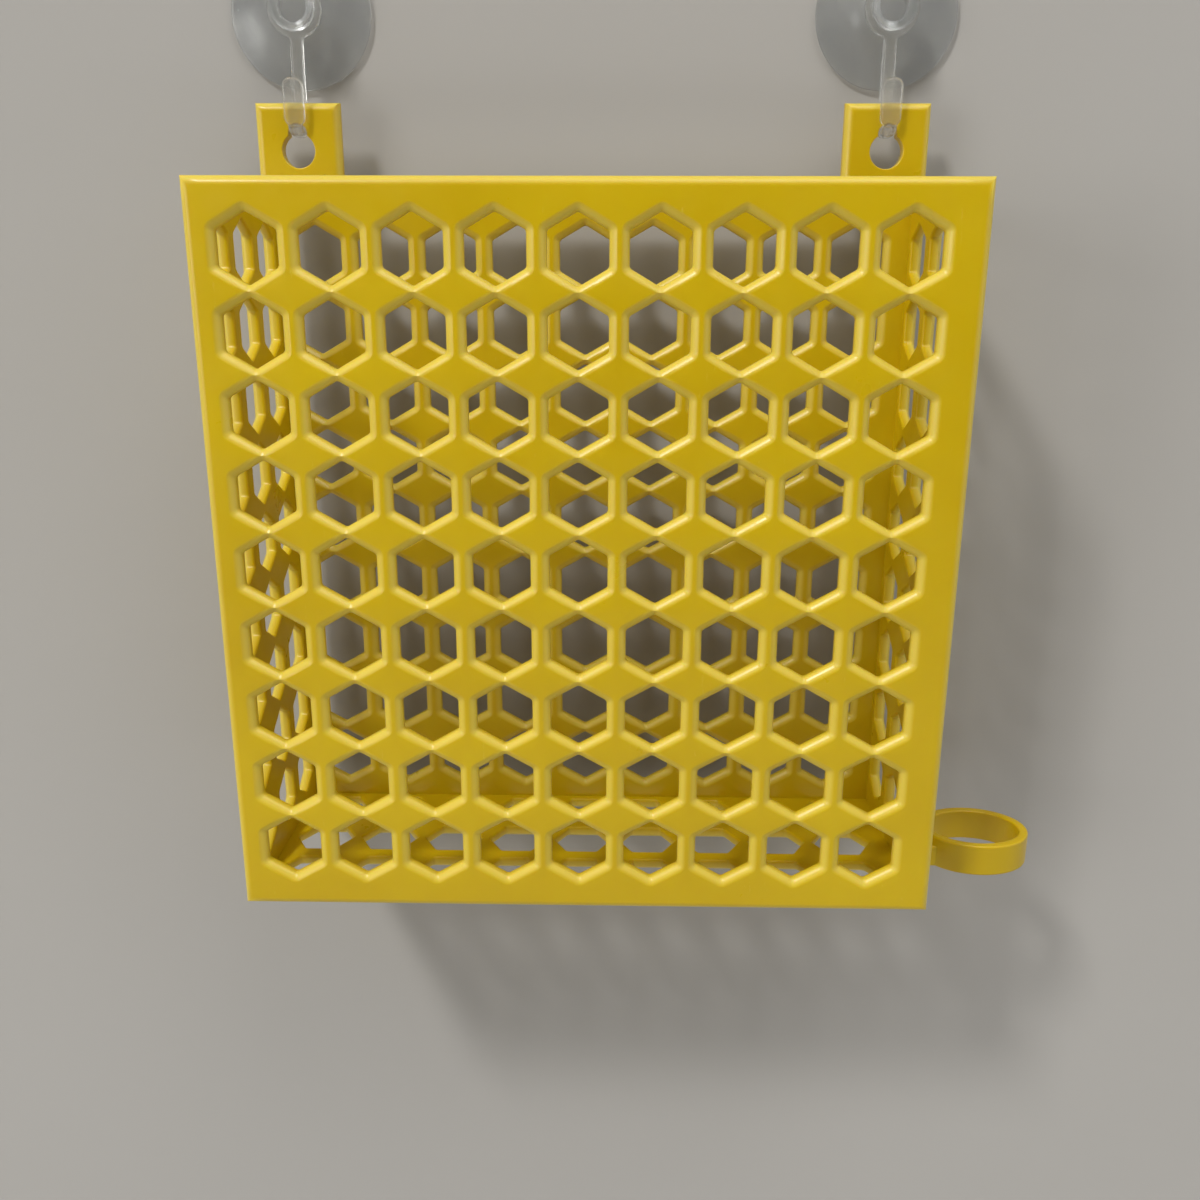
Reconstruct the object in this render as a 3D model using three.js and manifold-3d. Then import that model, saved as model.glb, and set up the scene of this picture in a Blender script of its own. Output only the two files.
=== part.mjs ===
// Wall-hung bath toy organizer: a honeycomb basket with two keyhole tabs, which hang from
// clear hooks on two suction cups, and with an oval ring for a rod low on its right wall.
// Millimetres, +Z up, +Y into the wall. The origin is on the wall, midway between the cups.

import * as THREE from 'three';
import { mergeVertices } from 'three/addons/utils/BufferGeometryUtils.js';
import Module from 'manifold-3d';

const wasm = await Module();
wasm.setup();

// Basket box
const basketWidth = 200;
const basketHeight = 201.4;
const basketDepth = 70;
const wallThickness = 4;
const edgeBevel = 2.5;

// Honeycomb cells, the same in every panel. The first column's centre is measured from the
// left edge and the first row's from the rim.
const cellAcrossFlats = 15.6;
const cellWeb = 5.1;
const cellBevel = 1.5;
const cellLand = 0.8;
const firstColumn = 15.4;
const firstRow = 17.2;

// Hanger tabs and their keyholes, with heights measured from the rim
const tabWidth = 25.2;
const tabHeight = 26;
const keyholeDiameter = 9.8;
const keyholeRise = 12.6;
const slotWidth = 5.5;
const slotTopRise = 20.2;

// Oval rod ring and its neck, low on the right wall
const ringWidth = 33.5;
const ringDepth = 27.1;
const ringWall = 2.8;
const ringHeight = 10;
const ringOffset = 23;
const ringBevel = 0.8;
const neckWidth = 16;
const neckHeight = 7;

// Suction cups, with depths measured from the wall
const cupDiameter = 42;
const cupRise = 52;
const cupRimThickness = 1.2;
const cupContactWidth = 3;
const cupHollowDepth = 2.6;
const bossDiameter = 16;
const bossDepth = 6.5;
const stemDiameter = 8;
const knobDiameter = 13;
const knobThickness = 4;
const knobRounding = 1.2;

// Clear hooks
const strapThickness = 2.4;
const strapWidth = 4.1;
const strapBevel = 0.8;
const troughThickness = 2.6;
const innerBendRadius = 0.5;
const legWidth = 6.2;
const legHeight = 13.2;
const legCornerRadius = 2.4;
const legBevel = 0.6;

// Clearances
const fitClearance = 0.3;
const legClearance = 0.6;
const seatClearance = 0.1;
const hookPlay = 0.45;
const overrun = 2;
const weldTolerance = 0.0001;

// Step counts
const cellSides = 6;
const cupSteps = 26;
const ringSteps = 36;
const curveSteps = 4;
const roundSteps = 12;

// Worked out from the sizes above
const cellPitch = cellAcrossFlats + cellWeb;
const hexRatio = Math.cos(Math.PI / cellSides);
const mouthInradius = cellAcrossFlats / 2 + cellBevel;
const mouthCircumradius = mouthInradius / hexRatio;
const innerDepth = basketDepth - 2 * wallThickness;
const innerWidth = basketWidth - 2 * wallThickness;
const tabOffset = (basketWidth - tabWidth) / 2;
const slotRadius = slotWidth / 2;
const slotArcRise = slotTopRise - slotRadius;
const grooveWidth = strapThickness + 2 * fitClearance;
const basketBackDepth = bossDepth + grooveWidth;
const seatReach = strapWidth / 2 + hookPlay;
const seatRise = Math.sqrt((slotRadius - seatClearance) ** 2 - seatReach ** 2) + strapBevel;
const troughDrop = cupRise - slotArcRise - seatRise;

const yellowPlastic = { color: 0xd0a912, roughness: 0.55, metalness: 0 };
const clearVinyl = { color: 0xd9d6cc, roughness: 0.25, metalness: 0, transparent: true, opacity: 0.5 };
const clearPlastic = { color: 0xe6e4dc, roughness: 0.15, metalness: 0, transparent: true, opacity: 0.5 };

// Turns a closed geometry into a solid that can be joined and cut.
function solidOf(geometry) {
  const bare = geometry.clone();
  bare.deleteAttribute('normal');
  bare.deleteAttribute('uv');
  const welded = mergeVertices(bare, weldTolerance);
  const corners = welded.index.array;
  const kept = [];
  for (let i = 0; i < corners.length; i += 3) {
    const [a, b, c] = corners.slice(i, i + 3);
    if (a !== b && b !== c && c !== a) kept.push(a, b, c);
  }
  return new wasm.Manifold(new wasm.Mesh({
    numProp: 3,
    vertProperties: Float32Array.from(welded.attributes.position.array),
    triVerts: Uint32Array.from(kept),
  }));
}

function geometryOf(solid) {
  const { vertProperties, triVerts } = solid.getMesh();
  const geometry = new THREE.BufferGeometry();
  geometry.setAttribute('position', new THREE.BufferAttribute(vertProperties, 3));
  geometry.setIndex(new THREE.BufferAttribute(triVerts, 1));
  geometry.computeVertexNormals();
  return geometry;
}

function meshOf(name, geometry, finish) {
  const mesh = new THREE.Mesh(geometry, new THREE.MeshStandardMaterial(finish));
  mesh.name = name;
  return mesh;
}

// Cell centres along a length, measured from its middle, as many as fit after the first one.
function cellCentres(length, first, reach) {
  const last = length - wallThickness - cellLand - reach;
  const count = Math.max(1, Math.floor((last - first) / cellPitch) + 1);
  return Array.from({ length: count }, (_, i) => first + i * cellPitch - length / 2);
}

// The same, spaced about the middle.
function centredCells(length, reach) {
  const centres = cellCentres(length, wallThickness + cellLand + reach, reach);
  const shift = (centres[0] + centres[centres.length - 1]) / 2;
  return centres.map((centre) => centre - shift);
}

// A hexagonal cell through one wall, along Y, with its points up and down. It is bevelled
// at the -Y face.
function cellCutter() {
  const half = wallThickness / 2;
  const narrow = cellAcrossFlats / 2 / hexRatio;
  const wide = (mouthInradius + overrun) / hexRatio;
  const profile = [
    new THREE.Vector2(0, -half - overrun),
    new THREE.Vector2(wide, -half - overrun),
    new THREE.Vector2(narrow, -half + cellBevel),
    new THREE.Vector2(narrow, half + overrun),
    new THREE.Vector2(0, half + overrun),
  ];
  return new THREE.LatheGeometry(profile, cellSides);
}

// A square bar along X that takes a 45 degree bevel off the edge that it is centred on.
function bevelBar(length) {
  const side = edgeBevel * Math.SQRT2;
  return new THREE.BoxGeometry(length + 2 * overrun, side, side).rotateX(Math.PI / 4);
}

// A panel in the XZ plane with its bevelled face towards -Y.
function honeycombPanel(width, height, columns, rows, cutter) {
  const holes = [];
  for (const x of columns) {
    for (const z of rows) {
      holes.push(solidOf(cutter.clone().translate(x, 0, z)));
    }
  }
  const slab = solidOf(new THREE.BoxGeometry(width, wallThickness, height));
  return slab.subtract(wasm.Manifold.union(holes));
}

function frontPanel(columns, rows) {
  const face = -wallThickness / 2;
  let panel = honeycombPanel(basketWidth, basketHeight, columns, rows, cellCutter());
  for (const side of [-1, 1]) {
    const level = bevelBar(basketWidth).translate(0, face, side * basketHeight / 2);
    const upright = bevelBar(basketHeight).rotateY(Math.PI / 2).translate(side * basketWidth / 2, face, 0);
    panel = panel.subtract(solidOf(level)).subtract(solidOf(upright));
  }
  return geometryOf(panel);
}

function backPanel(columns, rows) {
  return geometryOf(honeycombPanel(basketWidth, basketHeight, columns, rows, cellCutter()));
}

// Side is -1 for the left wall and 1 for the right. The bevels face outwards.
function sidePanel(side, depths, rows) {
  const panel = honeycombPanel(innerDepth, basketHeight, depths, rows, cellCutter());
  return geometryOf(panel).rotateZ(side * Math.PI / 2);
}

// The floor's cells have their points towards the side walls.
function floorPanel(columns, depths) {
  const cutter = cellCutter().rotateY(Math.PI / cellSides);
  const panel = honeycombPanel(innerWidth, innerDepth, columns, depths, cutter);
  return geometryOf(panel).rotateX(Math.PI / 2);
}

// The keyhole's outline: a round hole with a narrower round-topped slot above it.
function keyholeShape() {
  const holeRadius = keyholeDiameter / 2;
  const meetAngle = Math.acos(slotRadius / holeRadius);
  const shape = new THREE.Shape();
  shape.absarc(0, keyholeRise, holeRadius, Math.PI - meetAngle, meetAngle, false);
  shape.absarc(0, slotArcRise, slotRadius, 0, Math.PI, false);
  shape.closePath();
  return shape;
}

// A tab in the plane of the back panel, with its back face at Y 0 and its foot at Z 0.
function hangerTab() {
  const plate = new THREE.BoxGeometry(tabWidth, wallThickness, tabHeight);
  let tab = solidOf(plate.translate(0, -wallThickness / 2, tabHeight / 2));
  const topEdge = bevelBar(tabWidth).translate(0, -wallThickness, tabHeight);
  tab = tab.subtract(solidOf(topEdge));
  for (const side of [-1, 1]) {
    const upright = bevelBar(tabHeight).rotateY(Math.PI / 2);
    upright.translate(side * tabWidth / 2, -wallThickness, tabHeight / 2);
    tab = tab.subtract(solidOf(upright));
  }
  const keyhole = new THREE.ExtrudeGeometry(keyholeShape(), {
    depth: wallThickness + 2 * overrun,
    bevelEnabled: false,
    curveSegments: roundSteps,
  });
  keyhole.rotateX(Math.PI / 2).translate(0, overrun, 0);
  return geometryOf(tab.subtract(solidOf(keyhole)));
}

// A solid turned about Z from its profile and squeezed along Y to an oval.
function ovalSolid(profile, width, depth) {
  const turned = new THREE.LatheGeometry(profile, ringSteps).rotateX(Math.PI / 2);
  return solidOf(turned.scale(1, depth / width, 1));
}

// The ring stands on its foot at Z 0 and its neck meets the wall at X 0.
function rodRing() {
  const outer = ringWidth / 2;
  const inner = outer - ringWall;
  const flare = inner + ringBevel + overrun;
  const body = ovalSolid([
    new THREE.Vector2(0, 0),
    new THREE.Vector2(outer - ringBevel, 0),
    new THREE.Vector2(outer, ringBevel),
    new THREE.Vector2(outer, ringHeight - ringBevel),
    new THREE.Vector2(outer - ringBevel, ringHeight),
    new THREE.Vector2(0, ringHeight),
  ], ringWidth, ringDepth);
  const hole = ovalSolid([
    new THREE.Vector2(0, -overrun),
    new THREE.Vector2(flare, -overrun),
    new THREE.Vector2(inner, ringBevel),
    new THREE.Vector2(inner, ringHeight - ringBevel),
    new THREE.Vector2(flare, ringHeight + overrun),
    new THREE.Vector2(0, ringHeight + overrun),
  ], ringWidth - 2 * ringWall, ringDepth - 2 * ringWall);
  const neck = new THREE.BoxGeometry(ringOffset, neckWidth, neckHeight);
  neck.translate(-ringOffset / 2, 0, neckHeight / 2);
  const ring = body.add(solidOf(neck)).subtract(hole);
  return geometryOf(ring).translate(ringOffset, 0, 0);
}

// Points along a curve, without its last one.
function curvePoints(curve, steps) {
  return curve.getPoints(steps).slice(0, -1);
}

// The cup is turned about Y: a thin skirt on the wall, a boss, a stem and a round knob.
function suctionCup() {
  const cupRadius = cupDiameter / 2;
  const contactRadius = cupRadius - cupContactWidth;
  const bossRadius = bossDiameter / 2;
  const stemRadius = stemDiameter / 2;
  const knobRadius = knobDiameter / 2;
  const knobBack = -bossDepth - grooveWidth;
  const knobFront = knobBack - knobThickness;
  const hollow = new THREE.QuadraticBezierCurve(
    new THREE.Vector2(0, -cupHollowDepth),
    new THREE.Vector2(contactRadius / 2, -cupHollowDepth),
    new THREE.Vector2(contactRadius, 0),
  );
  const skirt = new THREE.QuadraticBezierCurve(
    new THREE.Vector2(cupRadius, -cupRimThickness),
    new THREE.Vector2(bossRadius + cupContactWidth, -bossDepth / 2),
    new THREE.Vector2(bossRadius, -bossDepth),
  );
  const knobEdge = new THREE.EllipseCurve(
    knobRadius - knobRounding, knobFront + knobRounding,
    knobRounding, knobRounding, 0, -Math.PI / 2, true,
  );
  const profile = [
    ...curvePoints(hollow, curveSteps / 2),
    new THREE.Vector2(contactRadius, 0),
    new THREE.Vector2(cupRadius, 0),
    ...curvePoints(skirt, curveSteps),
    new THREE.Vector2(bossRadius, -bossDepth),
    new THREE.Vector2(stemRadius, -bossDepth),
    new THREE.Vector2(stemRadius, knobBack),
    new THREE.Vector2(knobRadius, knobBack),
    ...knobEdge.getPoints(curveSteps / 2),
    new THREE.Vector2(0, knobFront),
  ];
  return geometryOf(solidOf(new THREE.LatheGeometry(profile.reverse(), cupSteps)));
}

// The J seen from the side, as Y and Z: a strap down behind the tab, a trough through the
// slot and the inner part of the leg in front.
function hookProfile() {
  const strapBack = -bossDepth - fitClearance;
  const strapFront = strapBack - strapThickness;
  const legBack = strapFront - wallThickness - fitClearance - legClearance;
  const legFront = legBack - troughThickness;
  const strapTop = -(stemDiameter + bossDiameter) / 4;
  const troughTop = -troughDrop;
  const troughBottom = troughTop - troughThickness;
  const legTop = troughTop + legHeight / 2;
  const outerBend = innerBendRadius + strapThickness;
  const shape = new THREE.Shape();
  shape.moveTo(strapBack, strapTop);
  shape.lineTo(strapFront, strapTop);
  shape.lineTo(strapFront, troughTop + innerBendRadius);
  shape.absarc(
    strapFront - innerBendRadius, troughTop + innerBendRadius,
    innerBendRadius, 0, -Math.PI / 2, true,
  );
  shape.absarc(
    legBack + innerBendRadius, troughTop + innerBendRadius,
    innerBendRadius, -Math.PI / 2, -Math.PI, true,
  );
  shape.lineTo(legBack, legTop);
  shape.lineTo(legFront, legTop);
  shape.absarc(legFront + outerBend, troughBottom + outerBend, outerBend, Math.PI, Math.PI * 1.5, false);
  shape.absarc(strapBack - outerBend, troughBottom + outerBend, outerBend, Math.PI * 1.5, Math.PI * 2, false);
  shape.closePath();
  return shape;
}

function hookBody() {
  const body = new THREE.ExtrudeGeometry(hookProfile(), {
    depth: strapWidth - 2 * strapBevel,
    bevelThickness: strapBevel,
    bevelSize: strapBevel,
    bevelOffset: -strapBevel,
    bevelSegments: 1,
    curveSegments: curveSteps,
  });
  body.translate(0, 0, strapBevel - strapWidth / 2);
  const yAxis = new THREE.Vector3(0, 1, 0);
  const zAxis = new THREE.Vector3(0, 0, 1);
  const xAxis = new THREE.Vector3(1, 0, 0);
  return body.applyMatrix4(new THREE.Matrix4().makeBasis(yAxis, zAxis, xAxis));
}

// The flat eye that the cup's stem passes through.
function hookEye() {
  const shape = new THREE.Shape().absarc(0, 0, bossDiameter / 2, 0, Math.PI * 2, false);
  shape.holes.push(new THREE.Path().absarc(0, 0, stemDiameter / 2 + fitClearance, 0, Math.PI * 2, true));
  const eye = new THREE.ExtrudeGeometry(shape, {
    depth: strapThickness,
    bevelEnabled: false,
    curveSegments: roundSteps,
  });
  return eye.rotateX(Math.PI / 2).translate(0, -bossDepth - fitClearance, 0);
}

// The wider leg that stands in front of the tab.
function hookLeg() {
  const half = legWidth / 2 - legBevel;
  const legBack = -bossDepth - 2 * fitClearance - strapThickness - wallThickness - legClearance;
  const bottom = -troughDrop + legBevel;
  const top = -troughDrop + legHeight - legBevel;
  const corner = legCornerRadius - legBevel;
  const shape = new THREE.Shape();
  shape.absarc(half - corner, bottom + corner, corner, -Math.PI / 2, 0, false);
  shape.absarc(half - corner, top - corner, corner, 0, Math.PI / 2, false);
  shape.absarc(corner - half, top - corner, corner, Math.PI / 2, Math.PI, false);
  shape.absarc(corner - half, bottom + corner, corner, Math.PI, Math.PI * 1.5, false);
  shape.closePath();
  const leg = new THREE.ExtrudeGeometry(shape, {
    depth: troughThickness - 2 * legBevel,
    bevelThickness: legBevel,
    bevelSize: legBevel,
    bevelSegments: 1,
    curveSegments: curveSteps,
  });
  return leg.rotateX(Math.PI / 2).translate(0, legBack - legBevel, 0);
}

function clearHook() {
  const hook = solidOf(hookBody()).add(solidOf(hookEye())).add(solidOf(hookLeg()));
  return geometryOf(hook);
}

// The basket hangs from its rim, with its back face at Y 0 of its own group.
function makeBasket() {
  const columns = cellCentres(basketWidth, firstColumn, mouthInradius);
  const rows = cellCentres(basketHeight, firstRow, mouthCircumradius).map((drop) => -drop);
  const depths = centredCells(basketDepth, mouthInradius);
  const middleZ = -basketHeight / 2;
  const middleY = -basketDepth / 2;
  const sideX = (basketWidth - wallThickness) / 2;

  const front = meshOf('front_panel', frontPanel(columns, rows), yellowPlastic);
  front.position.set(0, wallThickness / 2 - basketDepth, middleZ);
  const back = meshOf('back_panel', backPanel(columns, rows), yellowPlastic);
  back.position.set(0, -wallThickness / 2, middleZ);
  const leftSide = meshOf('left_side_panel', sidePanel(-1, depths, rows), yellowPlastic);
  leftSide.position.set(-sideX, middleY, middleZ);
  const rightSide = meshOf('right_side_panel', sidePanel(1, depths, rows), yellowPlastic);
  rightSide.position.set(sideX, middleY, middleZ);
  const floor = meshOf('floor_panel', floorPanel(columns, depths), yellowPlastic);
  floor.position.set(0, middleY, wallThickness / 2 - basketHeight);
  const ring = meshOf('rod_ring', rodRing(), yellowPlastic);
  ring.position.set(basketWidth / 2, middleY, -basketHeight);

  const basket = new THREE.Group();
  basket.add(front, back, leftSide, rightSide, floor, ring);
  for (const [side, place] of [['left', -tabOffset], ['right', tabOffset]]) {
    const tab = meshOf(`${side}_hanger_tab`, hangerTab(), yellowPlastic);
    tab.position.x = place;
    basket.add(tab);
  }
  basket.position.set(0, -basketBackDepth, -cupRise);
  return basket;
}

// A cup and its hook, about the middle of the cup.
function makeHanger(side) {
  const hanger = new THREE.Group();
  hanger.add(meshOf(`${side}_suction_cup`, suctionCup(), clearVinyl));
  hanger.add(meshOf(`${side}_hook`, clearHook(), clearPlastic));
  return hanger;
}

const leftHanger = makeHanger('left');
leftHanger.position.x = -tabOffset;
const rightHanger = makeHanger('right');
rightHanger.position.x = tabOffset;

const organizer = new THREE.Group();
organizer.add(makeBasket(), leftHanger, rightHanger);

export default organizer;
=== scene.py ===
import math
import bpy
import bmesh
from mathutils import Euler, Matrix, Vector


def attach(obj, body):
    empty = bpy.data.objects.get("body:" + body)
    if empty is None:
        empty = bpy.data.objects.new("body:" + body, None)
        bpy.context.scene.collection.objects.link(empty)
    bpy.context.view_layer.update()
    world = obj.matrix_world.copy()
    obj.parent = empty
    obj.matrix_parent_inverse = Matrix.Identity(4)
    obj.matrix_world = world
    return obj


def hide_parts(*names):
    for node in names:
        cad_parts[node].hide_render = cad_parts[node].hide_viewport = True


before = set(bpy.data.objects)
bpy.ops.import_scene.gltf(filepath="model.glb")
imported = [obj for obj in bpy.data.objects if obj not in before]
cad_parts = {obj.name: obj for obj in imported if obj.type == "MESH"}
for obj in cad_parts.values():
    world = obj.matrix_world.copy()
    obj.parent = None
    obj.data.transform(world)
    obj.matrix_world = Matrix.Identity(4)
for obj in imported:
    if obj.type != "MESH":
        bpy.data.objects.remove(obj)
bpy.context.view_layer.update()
print("frame loaded:", len(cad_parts), "nodes")

mm = 0.001  # shapes are written in millimetres


# shader helpers
class Wire:  # a node's output that takes part in sums
    def __init__(self, paint, socket):
        self.paint = paint
        self.socket = socket

    def sum(self, operation, first, second):
        return self.paint.node("ShaderNodeMath", {"operation": operation}, {0: first, 1: second})

    def __add__(self, other):
        return self.sum("ADD", self, other)

    def __radd__(self, other):
        return self.sum("ADD", other, self)

    def __sub__(self, other):
        return self.sum("SUBTRACT", self, other)

    def __rsub__(self, other):
        return self.sum("SUBTRACT", other, self)

    def __mul__(self, other):
        return self.sum("MULTIPLY", self, other)

    def __rmul__(self, other):
        return self.sum("MULTIPLY", other, self)

    def larger(self, other):
        return self.sum("MAXIMUM", self, other)

    def other(self, name):  # another output of the same node
        return Wire(self.paint, self.socket.node.outputs[name])


class Paint:  # the nodes of one material, or of the world
    def __init__(self, owner):
        owner.use_nodes = True
        self.owner = owner
        self.tree = owner.node_tree
        self.tree.nodes.clear()

    def node(self, kind, settings=None, inputs=None, out=0):
        made = self.tree.nodes.new(kind)
        for key, value in (settings or {}).items():
            setattr(made, key, value)
        for key, value in (inputs or {}).items():
            if isinstance(value, Wire):
                self.tree.links.new(value.socket, made.inputs[key])
            else:
                made.inputs[key].default_value = value
        return Wire(self, made.outputs[out]) if made.outputs else made

    def place(self):
        return self.node("ShaderNodeTexCoord", out="Object")

    def noise(self, where, scale, detail=2, roughness=0.5):
        return self.node("ShaderNodeTexNoise", {}, {"Vector": where, "Scale": scale, "Detail": detail,
                                                   "Roughness": roughness})

    def band(self, value, low, high, first=0, last=1):  # remaps and clamps
        return self.node("ShaderNodeMapRange", {"clamp": True},
                         {0: value, 1: low, 2: high, 3: first, 4: last})

    def mix(self, factor, first, second):
        return self.node("ShaderNodeMix", {"data_type": "RGBA"}, {0: factor, 6: first, 7: second}, 2)

    def surface(self, **sockets):
        shader = self.node("ShaderNodeBsdfPrincipled", {}, {key.replace("_", " "): value
                                                           for key, value in sockets.items()})
        self.node("ShaderNodeOutputMaterial", {}, {"Surface": shader})
        return self.owner


def shade(red, green, blue):  # display values to linear
    def one(value):
        value = value / 255
        return value / 12.92 if value <= 0.04045 else ((value + 0.055) / 1.055) ** 2.4
    return (one(red), one(green), one(blue), 1)


# yellow plastic: the colour drifts slowly, scuffs come in patches, and a painted highlight makes the rounded
# edges paler, in place of their sheen and of light glowing through the thin plastic
yellow = {"base": shade(206, 175, 4), "light": shade(214, 184, 12), "deep": shade(196, 162, 2),
          "scuff": shade(226, 206, 92), "scuffShare": 0.35, "rim": shade(224, 202, 82), "paintedHighlightShare": 0.72,
          "cloud": 22, "flow": 75, "haze": 160, "grain": 2600, "patch": 40, "scratch": 900,
          "stretch": (1, 1, 0.16), "lean": (0.3, 0.5, 0.2), "gloss": 0.32, "shine": 0.5, "bend": 1.47,
          "depth": 0.3, "reach": 0.002, "tint": (1, 0.6, 0.1), "relief": 0.06, "reliefHeight": 0.0004}


def makeYellow():
    paint = Paint(bpy.data.materials.new("yellowSatinPlastic"))
    where = paint.place()
    cloud = paint.noise(where, yellow["cloud"], 3)
    flow = paint.noise(where, yellow["flow"], 4, 0.6)
    haze = paint.noise(where, yellow["haze"])
    grain = paint.noise(where, yellow["grain"])
    stretched = paint.node("ShaderNodeMapping", {}, {"Vector": where, "Scale": yellow["stretch"],
                                                     "Rotation": yellow["lean"]})
    scratch = paint.band(paint.noise(stretched, yellow["scratch"], 3, 0.7), 0.66, 0.74)
    worn = scratch * paint.band(paint.noise(where, yellow["patch"]), 0.48, 0.62)
    body = paint.mix(paint.band(cloud, 0.3, 0.7), yellow["deep"], yellow["light"])
    body = paint.mix(paint.band(flow, 0.25, 0.75, 0.25, 0.75), body, yellow["base"])
    body = paint.mix(worn * yellow["scuffShare"], body, yellow["scuff"])
    paintedEdgeHighlight = paint.node("ShaderNodeAttribute", {"attribute_name": "paintedEdgeHighlight"}, out="Fac")
    # painted highlight: the pale rim colour laid over the rounded edges, standing in for their sheen and glow
    body = paint.mix(paintedEdgeHighlight * (yellow["paintedHighlightShare"] + 0.2 * (haze - 0.5)), body, yellow["rim"])
    rough = paint.band(flow, 0.3, 0.7, yellow["gloss"] - 0.05, yellow["gloss"] + 0.07) + worn * 0.12
    height = grain * 0.5 + flow * 0.8 + worn * 0.4
    bump = paint.node("ShaderNodeBump", {}, {"Strength": yellow["relief"], "Distance": yellow["reliefHeight"],
                                             "Height": height})
    return paint.surface(Base_Color=body, Roughness=rough, Normal=bump, IOR=yellow["bend"],
                         Specular_IOR_Level=yellow["shine"], Subsurface_Weight=yellow["depth"],
                         Subsurface_Radius=yellow["tint"], Subsurface_Scale=yellow["reach"])


# clear plastics: a light milky haze, and a soft waviness of the surface
vinyl = {"name": "clearSoftVinyl", "tint": shade(236, 238, 238), "milk": shade(216, 219, 220),
         "rough": (0.14, 0.28), "waves": 1.0, "solid": 0.78}
clear = {"name": "clearMouldedPlastic", "tint": shade(246, 245, 241), "milk": shade(234, 233, 228),
         "rough": (0.06, 0.14), "waves": 0.6, "solid": 0.75}
seeThrough = {"haze": 90, "fine": 1500, "relief": 0.12, "reliefHeight": 0.0006, "bend": 1.46, "share": 0.92}


def makeClear(plan):
    paint = Paint(bpy.data.materials.new(plan["name"]))
    where = paint.place()
    haze = paint.noise(where, seeThrough["haze"], 3, 0.6)
    fine = paint.noise(where, seeThrough["fine"])
    body = paint.mix(paint.band(haze, 0.35, 0.7), plan["tint"], plan["milk"])
    rough = paint.band(haze, 0.3, 0.75, *plan["rough"])
    height = haze * plan["waves"] + fine * 0.15
    bump = paint.node("ShaderNodeBump", {}, {"Strength": seeThrough["relief"],
                                             "Distance": seeThrough["reliefHeight"], "Height": height})
    return paint.surface(Base_Color=body, Roughness=rough, Normal=bump, IOR=seeThrough["bend"],
                         Transmission_Weight=seeThrough["share"], Alpha=plan["solid"])


finishes = {"yellow": makeYellow(), "vinyl": makeClear(vinyl), "clear": makeClear(clear)}
print("materials made:", len(finishes))


# mesh helpers
edgeCount = 8  # points across a rounded edge


def finishPiece(name, sheet, finish, body, nodes, sharp):
    weld = 0.00001  # metres
    mesh = bpy.data.meshes.new(name)
    mesh.from_pydata([Vector(v) * mm for v in sheet.verts], [], list(sheet.made.values()))
    # where the painted edge highlight goes
    mesh.attributes.new("paintedEdgeHighlight", "FLOAT", "POINT").data.foreach_set("value", sheet.paintedEdgeHighlight)
    form = bmesh.new()
    form.from_mesh(mesh)
    bmesh.ops.remove_doubles(form, verts=form.verts, dist=weld)
    bmesh.ops.dissolve_degenerate(form, edges=form.edges, dist=weld / 2)
    bmesh.ops.recalc_face_normals(form, faces=form.faces)
    form.to_mesh(mesh)
    form.free()
    for polygon in mesh.polygons:
        polygon.use_smooth = True
    mesh.set_sharp_from_angle(angle=math.radians(sharp))
    piece = bpy.data.objects.new(name, mesh)
    bpy.context.scene.collection.objects.link(piece)
    mesh.materials.append(finishes[finish])
    even = piece.modifiers.new("evenNormals", "WEIGHTED_NORMAL")
    even.keep_sharp = True
    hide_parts(*nodes)
    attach(piece, body)


def roundSteps(wide, deep, count, flat=0):
    # (inset, depth) points over a rounded edge, from the face to the side; flat 1 would be a plain chamfer
    steps = []
    for i in range(count):
        share = i / (count - 1)
        turn = math.pi / 2 * share
        steps.append((wide * ((1 - flat) * (1 - math.sin(turn)) + flat * (1 - share)),
                      deep * ((1 - flat) * (1 - math.cos(turn)) + flat * share)))
    return steps


def edgeSteps(size, count=edgeCount):
    return roundSteps(size, size, count)


def fullTurn(steps):
    return [2 * math.pi * i / steps for i in range(steps)]


class Sheet:  # collects vertices and faces of one solid
    def __init__(self, toWorld, edge=0):
        self.toWorld = toWorld
        self.edge = edge
        self.verts = []
        self.paintedEdgeHighlight = []  # 1 on the rounded edges of the outer face, where a painted highlight makes the plastic paler
        self.made = {}
        self.known = {}

    def at(self, u, v, w):
        key = (round(u, 4), round(v, 4), round(w, 4))
        if key not in self.known:
            self.known[key] = len(self.verts)
            self.verts.append(self.toWorld(u, v, w))
            self.paintedEdgeHighlight.append(self.paintedHighlightWeight(w))
        return self.known[key]

    # how much painted highlight a point gets, from its depth into the rounded edge
    def paintedHighlightWeight(self, depth):
        if not 0 < depth < self.edge:
            return 0.0
        share = depth / self.edge
        return min(1.0, share * 5, (1 - share) * 5)

    def face(self, *points):
        ring = []
        for point in points:
            index = self.at(*point)
            if not ring or ring[-1] != index:
                ring.append(index)
        if len(ring) > 1 and ring[0] == ring[-1]:
            ring.pop()
        if len(set(ring)) > 2 and self.made.pop(frozenset(ring), None) is None:
            self.made[frozenset(ring)] = ring  # two faces back to back cancel out

    def skin(self, rings):  # joins each ring of points to the next one
        for first, second in zip(rings, rings[1:]):
            for i in range(len(first)):
                j = (i + 1) % len(first)
                self.face(first[i], first[j], second[j], second[i])


# basket walls: the part's sizes, but with rounded cell mouths instead of plain chamfers
basket = {"width": 200, "height": 201.4, "depth": 70, "wall": 4, "edge": 2.5, "soft": 0.45, "rim": -52,
          "back": -9.5, "sharp": 48}
cell = {"flats": 15.6, "pitch": 20.7, "mouth": (2.25, 1.7), "mouthSteps": 7, "innerMouth": (0.8, 0.8),
        "innerSteps": 4, "flat": 0.5, "corner": 1.2, "opening": 0.5, "firstColumn": 15.4, "firstRow": 17.2,
        "spare": 1.1, "leastRim": 0.02}


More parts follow.
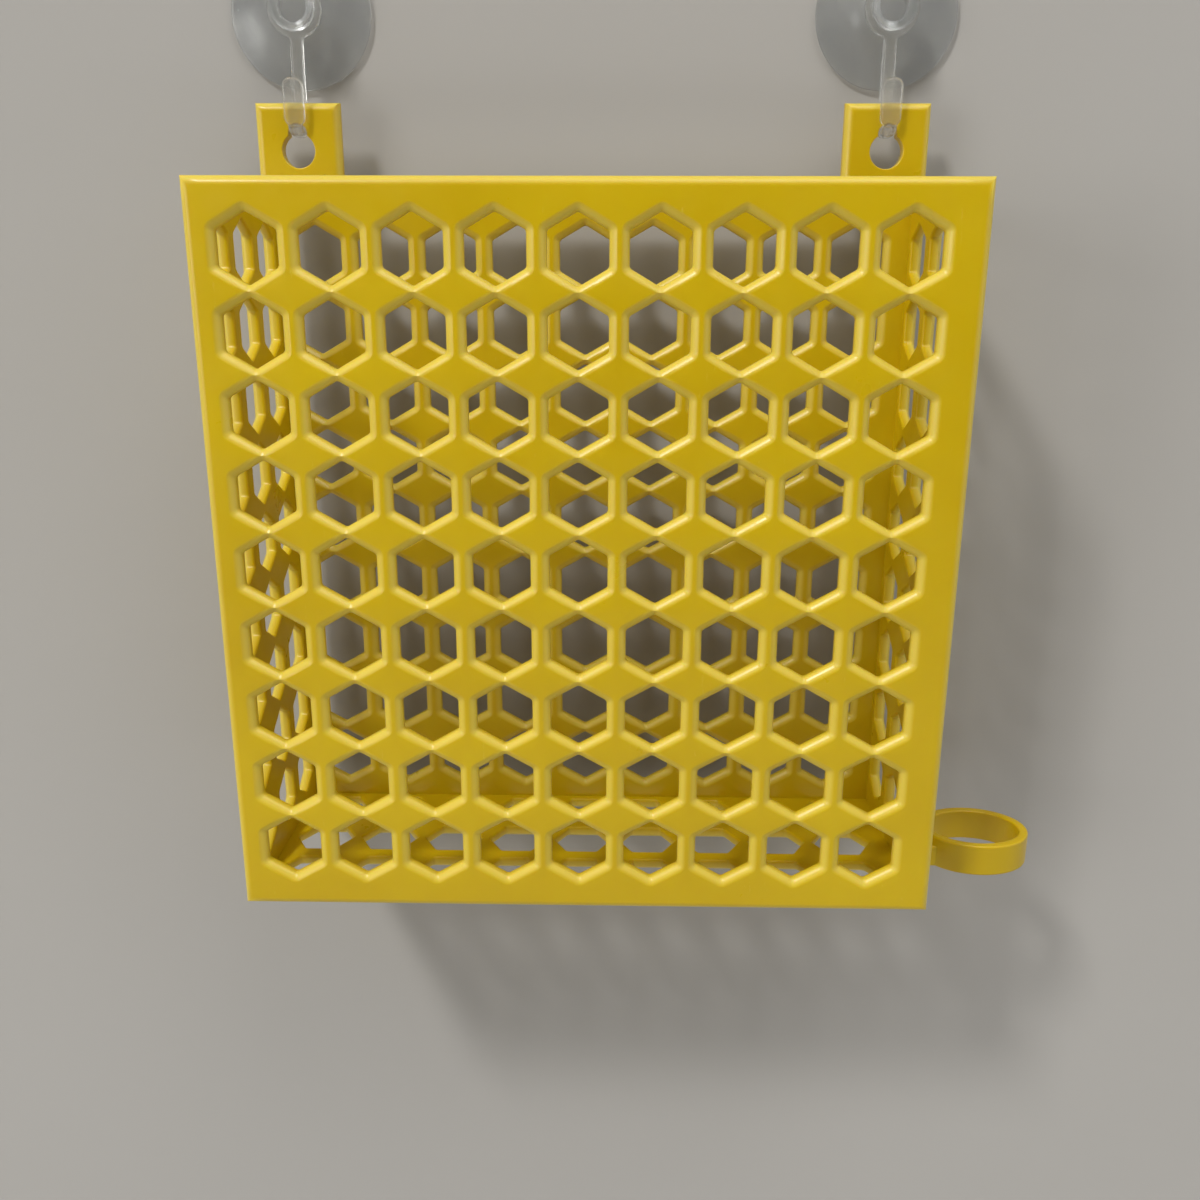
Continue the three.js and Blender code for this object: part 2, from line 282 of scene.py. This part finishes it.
def hexagon(reach, corner, turned):
    # a hexagon's points with soft corners, and one point in the middle of each flat
    points = []
    out = (reach - corner) / math.cos(math.radians(30))
    for k in range(6):
        middle = math.radians(60 * k + (0 if turned else 90))
        x, y = out * math.cos(middle), out * math.sin(middle)
        for step in (-30, -15, 0, 15, 30):
            a = middle + math.radians(step)
            points.append((x + corner * math.cos(a), y + corner * math.sin(a)))
        a = middle + math.radians(30)
        points.append((reach * math.cos(a), reach * math.sin(a)))
    return points


def cellSteps():
    # (extra reach, depth) from the outer face through the throat to the inner face
    inner = [(inset, basket["wall"] - depth)
             for inset, depth in roundSteps(*cell["innerMouth"], cell["innerSteps"])]
    return roundSteps(*cell["mouth"], cell["mouthSteps"], cell["flat"]) + inner[::-1]


def meeting(ring, axis, sign, half):
    # where a ring crosses the line to the next cell
    for first, second in zip(ring, ring[1:] + ring[:1]):
        near, far = sign * first[axis] - half, sign * second[axis] - half
        if (near > 0) != (far > 0):
            share = near / (near - far)
            yield first[1 - axis] + share * (second[1 - axis] - first[1 - axis])


def cellRings(turned, metBefore, metAfter):
    # one cell's rings about its middle; where the next cell's mouth meets this one at a point, both stop
    # at the line between them and share a low ridge
    half = cell["pitch"] / 2
    tipWidth = 0.01
    steps = cellSteps()
    axis = 0 if turned else 1
    rings = []
    for reach, depth in steps:
        outline = hexagon(cell["flats"] / 2 + reach, cell["corner"] + reach * cell["opening"], turned)
        rings.append([[x, y, depth] for x, y in outline])
    tips = [max(point[axis] for point in ring) for ring in rings]
    crossing = next(i for i, tip in enumerate(tips) if tip < half)
    if crossing:
        share = (tips[crossing - 1] - half) / (tips[crossing - 1] - tips[crossing])
        ridge = steps[crossing - 1][1] + share * (steps[crossing][1] - steps[crossing - 1][1])
        for ring in rings[:crossing]:
            for sign in [1] * metAfter + [-1] * metBefore:
                beyond = [point for point in ring if sign * point[axis] > half]
                reach = max(meeting(ring, axis, sign, half))
                for point in beyond:
                    point[axis] = sign * half
                    if abs(point[1 - axis]) < tipWidth:
                        point[2] = ridge
                    else:
                        point[1 - axis] = math.copysign(reach, point[1 - axis])
    start = min(range(len(rings[0])), key=lambda i: abs(math.atan2(rings[0][i][1], rings[0][i][0])))
    return [ring[start:] + ring[:start] for ring in rings]


def perforatedWall(toWorld, low, high, columns, rows, outer, inner, turned=False):
    # a wall with a cell at every column and row; outer and inner give the sizes of the edges by name
    sheet = Sheet(toWorld, basket["edge"])
    half = cell["pitch"] / 2
    thick = basket["wall"]
    level = 0.001  # how far from a face a point may be and still lie in it
    steps = [{name: edgeSteps(edges.get(name, 0)) for name in ("left", "right", "bottom", "top")}
             for edges in (outer, inner)]

    def lattice(first, last, centres, spare):
        lines = [first]
        for centre in centres:
            lines += [centre - half, centre]
        lines += [centres[-1] + half, last]
        lines[1] = max(lines[1] - spare, first + cell["leastRim"])
        lines[-2] = min(lines[-2] + spare, last - cell["leastRim"])
        return lines

    us = lattice(low[0], high[0], columns, cell["spare"] if turned else 0)
    vs = lattice(low[1], high[1], rows, 0 if turned else cell["spare"])
    lastU, lastV = len(us) - 1, len(vs) - 1

    def border(i, j, side, step):
        # a lattice point, drawn in from the rim of the wall by its edges' steps
        place, depths = [us[i], vs[j]], [0]
        for name, here, sign, axis in (("left", i == 0, 1, 0), ("right", i == lastU, -1, 0),
                                       ("bottom", j == 0, 1, 1), ("top", j == lastV, -1, 1)):
            if here:
                inset, depth = steps[side][name][step]
                place[axis] += sign * inset
                depths.append(depth)
        deep = max(depths)
        return (*place, deep if side == 0 else thick - deep)

    for side in (0, 1):
        for i in range(lastU):
            for j in range(lastV):
                if not (1 <= i <= 2 * len(columns) and 1 <= j <= 2 * len(rows)):
                    square = ((i, j), (i + 1, j), (i + 1, j + 1), (i, j + 1))
                    sheet.face(*[border(a, b, side, 0) for a, b in square])
    for column, x in enumerate(columns):
        for row, y in enumerate(rows):
            place, last = (column, len(columns) - 1) if turned else (row, len(rows) - 1)
            rings = [[(x + u, y + v, w) for u, v, w in ring]
                     for ring in cellRings(turned, place > 0, place < last)]
            sheet.skin(rings)
            i, j = 2 * column + 2, 2 * row + 2
            around = [(i + 1, j), (i + 1, j + 1), (i, j + 1), (i - 1, j + 1), (i - 1, j), (i - 1, j - 1),
                      (i, j - 1), (i + 1, j - 1), (i + 1, j)]
            for side, ring, face in ((0, rings[0], 0), (1, rings[-1], thick)):
                closed = [*ring, ring[0]]
                quarter = len(ring) // 4
                met = {border(a, b, side, 0)[:2] for k, (a, b) in enumerate(around[:8])
                       if k % 2 == 0 and abs(closed[quarter * k // 2][2] - face) > level}
                for k in range(4):
                    arc = [p for p in closed[k * quarter:(k + 1) * quarter + 1] if abs(p[2] - face) < level]
                    corners = [border(a, b, side, 0) for a, b in around[2 * k:2 * k + 3]]
                    corners = [p for p in corners if p[:2] not in met]
                    sheet.face(*arc, *corners[::-1])
    loop = [(i, 0) for i in range(lastU)] + [(lastU, j) for j in range(lastV)]
    loop += [(i, lastV) for i in range(lastU, 0, -1)] + [(0, j) for j in range(lastV, 0, -1)]
    rims = [[border(i, j, 0, step) for i, j in loop] for step in range(edgeCount)]
    rims += [[border(i, j, 1, step) for i, j in loop] for step in reversed(range(edgeCount))]
    sheet.skin(rims)
    return sheet


rimZ = basket["rim"]
footZ = rimZ - basket["height"]
halfWidth = basket["width"] / 2
backY = basket["back"]
frontY = backY - basket["depth"]
wall = basket["wall"]
bevel, soft = basket["edge"], basket["soft"]
columns = [cell["firstColumn"] - halfWidth + cell["pitch"] * i for i in range(9)]
rows = [rimZ - cell["firstRow"] - cell["pitch"] * i for i in range(8, -1, -1)]
depths = [(frontY + backY) / 2 + cell["pitch"] * i for i in (-1, 0, 1)]
wide = {"low": (-halfWidth, footZ), "high": (halfWidth, rimZ), "columns": columns, "rows": rows}
narrow = {"low": (frontY + wall, footZ), "high": (backY - wall, rimZ), "columns": depths, "rows": rows,
          "outer": {"top": soft, "bottom": soft}, "inner": {"top": soft}}
walls = {
    "frontHoneycomb": ("front_panel", {
        **wide, "toWorld": lambda u, v, w: (u, frontY + w, v),
        "outer": {"left": bevel, "right": bevel, "bottom": bevel, "top": bevel}, "inner": {"top": soft}}),
    "backHoneycomb": ("back_panel", {
        **wide, "toWorld": lambda u, v, w: (u, backY - wall + w, v),
        "outer": {"top": soft}, "inner": {"left": soft, "right": soft, "bottom": soft}}),
    "leftHoneycomb": ("left_side_panel", {**narrow, "toWorld": lambda u, v, w: (w - halfWidth, u, v)}),
    "rightHoneycomb": ("right_side_panel", {**narrow, "toWorld": lambda u, v, w: (halfWidth - w, u, v)}),
    "floorHoneycomb": ("floor_panel", {
        "toWorld": lambda u, v, w: (u, v, footZ + w), "low": (wall - halfWidth, frontY + wall),
        "high": (halfWidth - wall, backY - wall), "columns": columns, "rows": depths,
        "outer": {}, "inner": {}, "turned": True}),
}
for name, (node, plan) in walls.items():
    finishPiece(name, perforatedWall(**plan), "yellow", "basket", [node], basket["sharp"])
print("basket walls made:", len(walls))


# hanger tabs
tab = {"width": 25.2, "height": 26, "hole": 9.8, "holeRise": 12.6, "slot": 5.5, "slotTop": 20.2,
       "edge": 2.5, "soft": 0.3, "softSteps": 5, "steps": 96, "sharp": 35}
tiny, huge, touch = 1e-9, 1e9, 1e-4


def keyholeReach(angle):
    # how far the keyhole's outline is from the middle of its round part
    hole, slot = tab["hole"] / 2, tab["slot"] / 2
    top = tab["slotTop"] - tab["holeRise"] - slot
    x, z = math.cos(angle), math.sin(angle)
    reach = hole
    if z > 0:
        if abs(x) > tiny and slot / abs(x) * z <= top:
            reach = max(reach, slot / abs(x))
        else:
            inside = slot ** 2 - (top * x) ** 2
            if inside > 0:
                reach = max(reach, top * z + math.sqrt(inside))
    return reach


def makeTab(name, node, middle):
    outerX = tab["width"] / 2
    low, high = -tab["holeRise"], tab["height"] - tab["holeRise"]
    sheet = Sheet(lambda u, v, w: (middle + u, backY - wall + w, rimZ + tab["holeRise"] + v), tab["edge"])
    edges = [{"left": bevel, "right": bevel, "top": bevel}, {"left": soft, "right": soft, "top": soft}]
    flatX, flatTop = outerX - tab["edge"], high - tab["edge"]
    meet = math.acos(tab["slot"] / 2 / (tab["hole"] / 2))
    angles = [2 * math.pi * (i + 0.5) / tab["steps"] for i in range(tab["steps"])]
    angles += [math.atan2(v, u) for u in (-flatX, flatX) for v in (low, flatTop)] + [meet, math.pi - meet]
    angles = sorted({round(a % (2 * math.pi), 6) for a in angles})

    def rimPoint(a, side, step):
        # a point on the tab's outline; its place along the side comes from the flat front face
        left, right, top = (edgeSteps(edges[side][key])[step] for key in ("left", "right", "top"))
        x, z = math.cos(a), math.sin(a)
        reach = min(flatX / abs(x) if abs(x) > tiny else huge,
                    (flatTop if z > 0 else -low) / abs(z) if abs(z) > tiny else huge)
        u, v, depth = reach * x, reach * z, 0
        if abs(u) >= flatX - touch:
            inset, deep = left if u < 0 else right
            u = math.copysign(outerX - inset, u)
            depth = max(depth, deep)
        if v >= flatTop - touch:
            inset, deep = top
            v = high - inset
            depth = max(depth, deep)
        return (u, v, depth if side == 0 else wall - depth)

    def holePoint(a, grow, depth):
        reach = keyholeReach(a) + grow
        return (reach * math.cos(a), reach * math.sin(a), depth)

    softSteps = edgeSteps(tab["soft"], tab["softSteps"])
    holes = [[holePoint(a, inset, depth) for a in angles] for inset, depth in softSteps]
    holes += [[holePoint(a, inset, wall - depth) for a in angles] for inset, depth in softSteps[::-1]]
    rims = [[rimPoint(a, 0, step) for a in angles] for step in range(edgeCount)]
    rims += [[rimPoint(a, 1, step) for a in angles] for step in reversed(range(edgeCount))]
    for rings in (holes, rims, [holes[0], rims[0]], [holes[-1], rims[-1]]):
        sheet.skin(rings)
    finishPiece(name, sheet, "yellow", "basket", [node], tab["sharp"])


tabMiddle = (basket["width"] - tab["width"]) / 2
makeTab("leftTab", "left_hanger_tab", -tabMiddle)
makeTab("rightTab", "right_hanger_tab", tabMiddle)
print("tabs made")


# ring on the right side: an oval band, and a short neck that flares at the basket's wall
ring = {"width": 33.5, "depth": 27.1, "wall": 2.8, "height": 10, "offset": 23, "soft": 0.7, "softSteps": 6,
        "neckWidth": 16, "neckHeight": 7, "steps": 96, "sharp": 35,
        "flare": ((0, 1.6), (0.03, 1.0), (0.08, 0.55), (0.16, 0.22), (0.3, 0), (0.6, 0), (1, 0))}


def makeRing():
    middleY = (frontY + backY) / 2
    sheet = Sheet(lambda u, v, w: (halfWidth + u, middleY + v, footZ + w))
    outer = (ring["width"] / 2, ring["depth"] / 2)
    inner = (outer[0] - ring["wall"], outer[1] - ring["wall"])
    turns = fullTurn(ring["steps"])
    steps = edgeSteps(ring["soft"], ring["softSteps"])
    tall = ring["height"]

    def oval(size, grow, w):
        return [(ring["offset"] + (size[0] + grow) * math.cos(a), (size[1] + grow) * math.sin(a), w)
                for a in turns]

    loops = [oval(outer, -inset, depth) for inset, depth in steps]
    loops += [oval(outer, -inset, tall - depth) for inset, depth in steps[::-1]]
    loops += [oval(inner, inset, tall - depth) for inset, depth in steps]
    loops += [oval(inner, inset, depth) for inset, depth in steps[::-1]]
    sheet.skin(loops + loops[:1])
    # the neck: cross-sections from the wall into the ring's band, each with soft edges
    middle = ((outer[0] + inner[0]) / 2, (outer[1] + inner[1]) / 2)
    sections = []
    for share, flare in ring["flare"]:
        halfNeck = ring["neckWidth"] / 2 + flare
        outline = []
        for sign, top in ((1, False), (1, True), (-1, True), (-1, False)):
            points = [(halfNeck - inset, ring["neckHeight"] - depth if top else depth)
                      for inset, depth in steps]
            if (sign == 1) == top:
                points = points[::-1]
            outline += [(sign * v, w) for v, w in points]
        section = []
        for v, w in outline:
            fromMiddle = min(0.999, abs(v) / middle[1])
            end = ring["offset"] - middle[0] * math.sqrt(1 - fromMiddle ** 2)
            section.append((share * end, v, w))
        sections.append(section)
    sheet.skin(sections)
    sheet.face(*sections[0])
    sheet.face(*sections[-1])
    finishPiece("rodRing", sheet, "yellow", "basket", ["rod_ring"], ring["sharp"])


makeRing()
print("side ring made")


# suction cups, each turned from a profile of (radius, distance from the wall)
cup = {"across": 42, "rim": 1.2, "contact": 3, "hollow": 2.6, "boss": 16, "bossDepth": 6.5, "stem": 8,
       "knob": 13, "knobThick": 4, "knobRound": 1.4, "gap": 3.0, "axis": 0.01, "steps": 96, "sharp": 50}


def curve(first, pull, last, steps):
    points = []
    for i in range(steps + 1):
        t = i / steps
        points.append(tuple((1 - t) ** 2 * a + 2 * t * (1 - t) * b + t * t * c
                            for a, b, c in zip(first, pull, last)))
    return points


def corner(radius, depth, *steps):
    # the few points that soften one corner of the profile, as steps from it
    return [(radius + outward, depth + forward) for outward, forward in steps]


def makeCup(name, node, middle):
    rim, boss, stem, knob = cup["across"] / 2, cup["boss"] / 2, cup["stem"] / 2, cup["knob"] / 2
    lip, front, hollow, turn = cup["rim"], cup["bossDepth"], cup["hollow"], cup["knobRound"]
    touching = rim - cup["contact"]
    knobBack = front + cup["gap"]
    knobFront = knobBack + cup["knobThick"]
    profile = curve((cup["axis"], hollow), (touching / 2, hollow), (touching, 0), 16)
    profile += corner(rim, 0, (-0.25, 0), (-0.07, 0.09), (0, 0.3))
    profile += corner(rim, lip, (0, -0.3), (-0.1, -0.05))
    profile += curve((rim - 0.35, lip + 0.04), (boss + cup["contact"], front / 2),
                     (boss + 0.25, front - 0.45), 18)
    profile += corner(boss, front, (0.02, -0.14), (-0.3, 0))
    profile += corner(stem, front, (0.35, 0), (0.1, 0.12), (0, 0.4))
    profile += corner(stem, knobBack, (0, -0.4), (0.1, -0.1), (0.3, 0))
    profile += corner(knob, knobBack, (-0.4, 0), (-0.1, 0.12), (0, 0.45))
    profile += [(knob - turn + turn * math.cos(a), knobFront - turn + turn * math.sin(a))
                for a in [math.radians(15 * i) for i in range(7)]]
    profile += [(knob * 0.45, knobFront - 0.02), (cup["axis"], knobFront - 0.12)]
    sheet = Sheet(lambda u, v, w: (middle + u, -w, v))
    loops = [[(r * math.cos(a), r * math.sin(a), d) for a in fullTurn(cup["steps"])] for r, d in profile]
    sheet.skin(loops)
    sheet.face(*loops[0])
    sheet.face(*loops[-1])
    finishPiece(name, sheet, "vinyl", "suction_cups", [node], cup["sharp"])


makeCup("leftCup", "left_suction_cup", -tabMiddle)
makeCup("rightCup", "right_suction_cup", tabMiddle)
print("cups made")


# clear hooks: the part's own forms with every edge softened
hook = {"weld": 0.005, "grain": 0.32, "ease": 0.5, "rounds": 5, "faces": 0.35}


def makeHook(name, node, body):
    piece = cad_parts[node].copy()
    piece.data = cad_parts[node].data.copy()
    piece.name = name
    for key in list(piece.keys()):
        del piece[key]
    bpy.context.scene.collection.objects.link(piece)
    piece.parent = None
    piece.matrix_world = Matrix.Identity(4)
    piece.hide_render = False
    piece.hide_viewport = False
    piece.data.materials.clear()
    piece.data.materials.append(finishes["clear"])
    form = bmesh.new()
    form.from_mesh(piece.data)
    bmesh.ops.remove_doubles(form, verts=form.verts, dist=hook["weld"] * mm)
    form.to_mesh(piece.data)
    form.free()
    mould = piece.modifiers.new("mould", "REMESH")
    mould.mode = "VOXEL"
    mould.voxel_size = hook["grain"] * mm
    ease = piece.modifiers.new("ease", "SMOOTH")
    ease.factor = hook["ease"]
    ease.iterations = hook["rounds"]
    thin = piece.modifiers.new("thin", "DECIMATE")
    thin.ratio = hook["faces"]
    bpy.context.view_layer.update()
    shaped = bpy.data.meshes.new_from_object(piece.evaluated_get(bpy.context.evaluated_depsgraph_get()))
    piece.modifiers.clear()
    piece.data = shaped
    for polygon in shaped.polygons:
        polygon.use_smooth = True
    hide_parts(node)
    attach(piece, body)


makeHook("leftClearHook", "left_hook", "left_hook")
makeHook("rightClearHook", "right_hook", "right_hook")
print("hooks made")


# backdrop: one sheet, a wall just behind the cups that sweeps down into a floor
backdrop = {"wide": 1500, "top": 900, "floor": -640, "out": 1700, "sweep": 160, "sweepSteps": 12, "gap": 0.4,
            "colour": shade(185, 183, 180), "stain": shade(170, 168, 163), "stainShare": 0.12}


def makeBackdrop():
    paint = Paint(bpy.data.materials.new("palePlaster"))
    cloud = paint.noise(paint.place(), 6, 3)
    colour = paint.mix(paint.band(cloud, 0.3, 0.7, 0.0, backdrop["stainShare"]), backdrop["colour"],
                       backdrop["stain"])
    plain = paint.node("ShaderNodeBsdfDiffuse", {}, {"Color": colour, "Roughness": 0.4})
    gone = paint.node("ShaderNodeBsdfTransparent")
    behind = paint.node("ShaderNodeNewGeometry", out="Backfacing")
    both = paint.node("ShaderNodeMixShader", {}, {0: behind, 1: plain, 2: gone})  # it shows from its lit side
    paint.node("ShaderNodeOutputMaterial", {}, {"Surface": both})
    gap, floor, sweep = backdrop["gap"], backdrop["floor"], backdrop["sweep"]
    line = [(gap, backdrop["top"])]
    for i in range(backdrop["sweepSteps"] + 1):
        a = math.radians(90 * i / backdrop["sweepSteps"])
        line.append((gap - sweep * (1 - math.cos(a)), floor + sweep * (1 - math.sin(a))))
    line.append((-backdrop["out"], floor))
    verts = [Vector((x, y, z)) * mm for y, z in line for x in (-backdrop["wide"], backdrop["wide"])]
    faces = [(2 * i, 2 * i + 2, 2 * i + 3, 2 * i + 1) for i in range(len(line) - 1)]
    mesh = bpy.data.meshes.new("backdrop")
    mesh.from_pydata(verts, [], faces)
    for polygon in mesh.polygons:
        polygon.use_smooth = True
    mesh.materials.append(paint.owner)
    sheet = bpy.data.objects.new("backdrop", mesh)
    bpy.context.scene.collection.objects.link(sheet)


makeBackdrop()
print("backdrop made")

# lamps: a key from the upper left, two softer ones, and a broad fill from below
lamps = {
    "window": {"place": (-1240, -1600, 2060), "aim": (0, -40, -140), "size": 420, "power": 40,
               "colour": (1, 0.985, 0.95), "gloss": True},
    "ceiling": {"place": (320, -620, 1100), "aim": (0, -60, -140), "size": 700, "power": 5,
                "colour": (1, 0.99, 0.96), "gloss": True},
    "side": {"place": (-1500, -1350, 60), "aim": (0, -60, -140), "size": 700, "power": 7.2,
             "colour": (1, 0.99, 0.96), "gloss": True},
    "fill": {"place": (350, -1050, -980), "aim": (0, -40, -140), "size": 1000, "power": 10.6,
             "colour": (1, 0.98, 0.94), "gloss": False},
}
for name, plan in lamps.items():
    lamp = bpy.data.lights.new(name, "AREA")
    lamp.size = plan["size"] * mm
    lamp.energy = plan["power"]
    lamp.color = plan["colour"]
    holder = bpy.data.objects.new(name, lamp)
    bpy.context.scene.collection.objects.link(holder)
    holder.visible_glossy = plan["gloss"]
    holder.location = Vector(plan["place"]) * mm
    holder.rotation_euler = (Vector(plan["aim"]) - Vector(plan["place"])).to_track_quat("-Z", "Y").to_euler()

# the room: bright on all sides but in front of the basket, and pale where it is seen, also through plastic
room = {"around": 0.85, "ahead": 0.06, "aheadBand": (-0.85, -0.5), "seen": 0.6,
        "colour": (0.93, 0.92, 0.9, 1)}


def makeRoom():
    paint = Paint(bpy.data.worlds.new("room"))
    path = paint.node("ShaderNodeLightPath")
    way = paint.node("ShaderNodeTexCoord", out="Generated")
    depth = paint.node("ShaderNodeSeparateXYZ", {}, {"Vector": way}, "Y")
    ahead = paint.band(depth, *room["aheadBand"], 1, 0)
    seen = path.larger(path.other("Is Transmission Ray"))
    lit = room["around"] + ahead * (room["ahead"] - room["around"])
    strength = lit * (1 - seen) + seen * room["seen"]
    light = paint.node("ShaderNodeBackground", {}, {"Color": room["colour"], "Strength": strength})
    paint.node("ShaderNodeOutputWorld", {}, {"Surface": light})
    bpy.context.scene.world = paint.owner


makeRoom()
print("lamps and room made")

# camera, fitted to the basket's cells in the photo
photoView = {"place": (7.94, -364.4, -77.89), "turn": (74.051, -0.175, 1.049), "sensor": 36, "lens": 33,
             "shift": 4 / 1200, "clip": (0.01, 20)}
camera = bpy.data.cameras.new("photoCamera")
camera.sensor_width = photoView["sensor"]
camera.lens = photoView["lens"]
camera.shift_x = photoView["shift"]
camera.clip_start, camera.clip_end = photoView["clip"]
viewer = bpy.data.objects.new("photoCamera", camera)
bpy.context.scene.collection.objects.link(viewer)
viewer.location = Vector(photoView["place"]) * mm
viewer.rotation_euler = Euler([math.radians(a) for a in photoView["turn"]], "XYZ")
bpy.context.scene.camera = viewer
bpy.context.scene.view_settings.view_transform = "Standard"
print("camera made")
